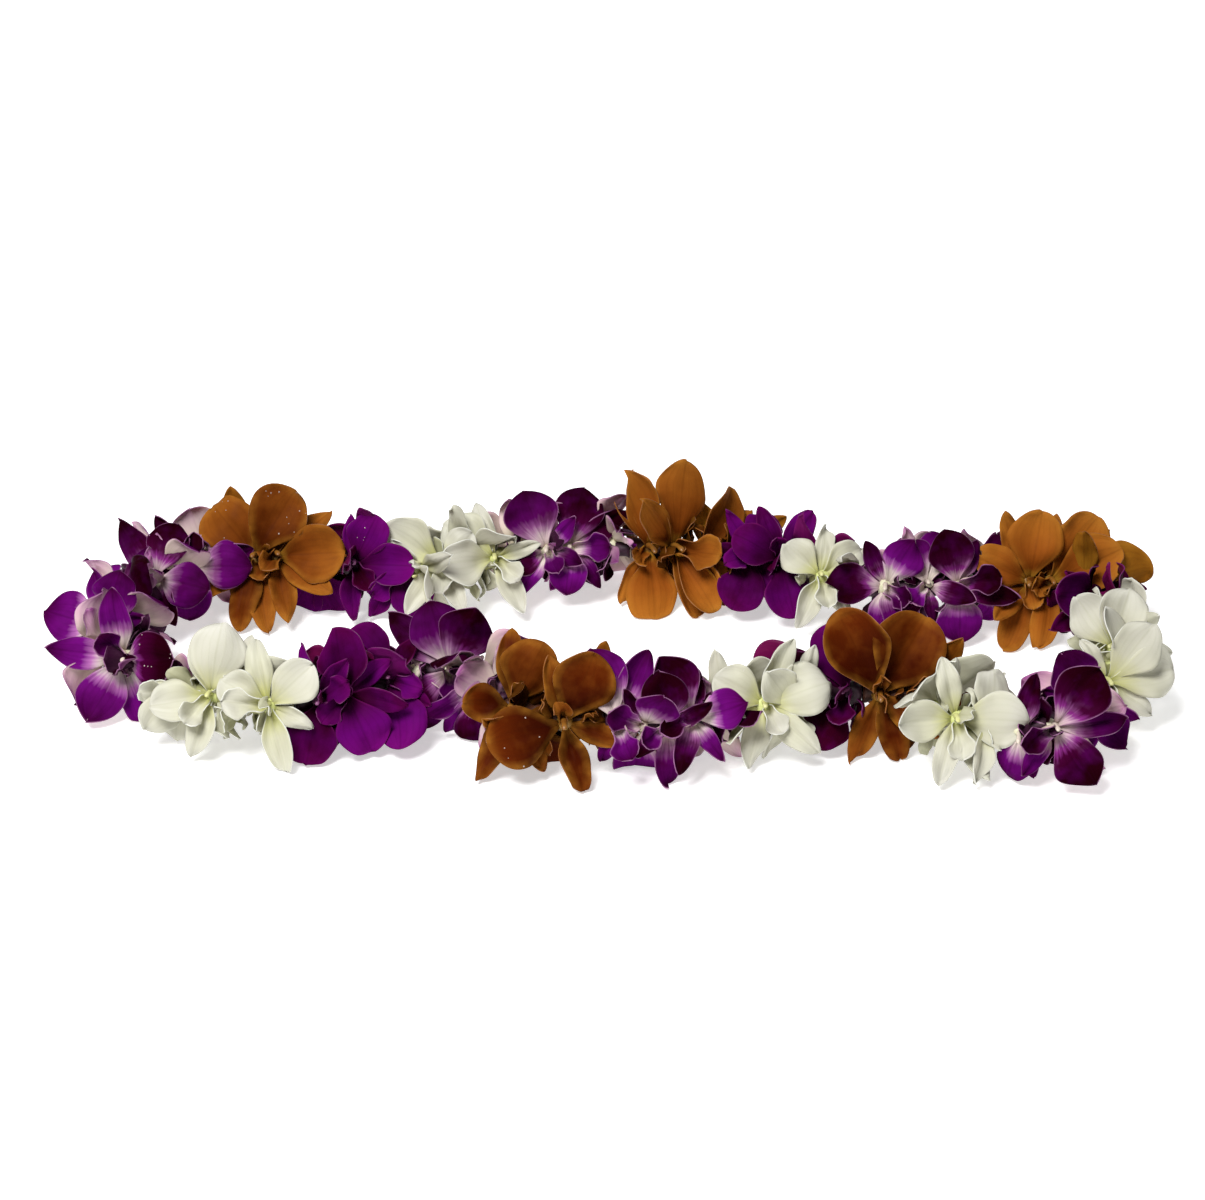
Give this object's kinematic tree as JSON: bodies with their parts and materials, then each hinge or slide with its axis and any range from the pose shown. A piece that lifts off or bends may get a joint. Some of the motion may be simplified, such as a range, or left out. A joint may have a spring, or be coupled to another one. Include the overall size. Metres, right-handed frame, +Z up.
{
  "type": "orchid lei",
  "caption": "Flower garland of orchid blossoms in amber, violet, white and purple-and-white sections, strung on a thread tied into a loop and laid flat as a long oval.",
  "frame": {"origin": "on the table, under the middle of the laid loop", "axes": "+X along the long oval, +Y to its back, +Z up from the table"},
  "size_m": [0.4917, 0.1843, 0.0626],
  "materials": {
    "amber_petals": "velvety petals dyed golden brown",
    "bicolor_petals": "satin petals, white at the base and dark purple at the tips",
    "violet_petals": "satin petals dyed violet",
    "white_petals": "satin white petals with a yellow-green throat",
    "thread": "twisted cotton"
  },
  "bodies": {
    "root": {"bicolor_1": "bicolor_petals", "bicolor_2": "bicolor_petals", "amber_1": "amber_petals", "violet_1": "violet_petals", "white_1": "white_petals", "bicolor_3": "bicolor_petals", "amber_2": "amber_petals", "violet_2": "violet_petals", "white_2": "white_petals", "bicolor_4": "bicolor_petals", "amber_3": "amber_petals", "violet_3": "violet_petals", "white_3": "white_petals", "bicolor_5": "bicolor_petals", "white_4": "white_petals", "amber_4": "amber_petals", "violet_4": "violet_petals", "white_5": "white_petals", "bicolor_6": "bicolor_petals", "amber_5": "amber_petals", "bicolor_7": "bicolor_petals", "violet_5": "violet_petals", "white_6": "white_petals", "thread": "thread"}
  },
  "joints": []
}
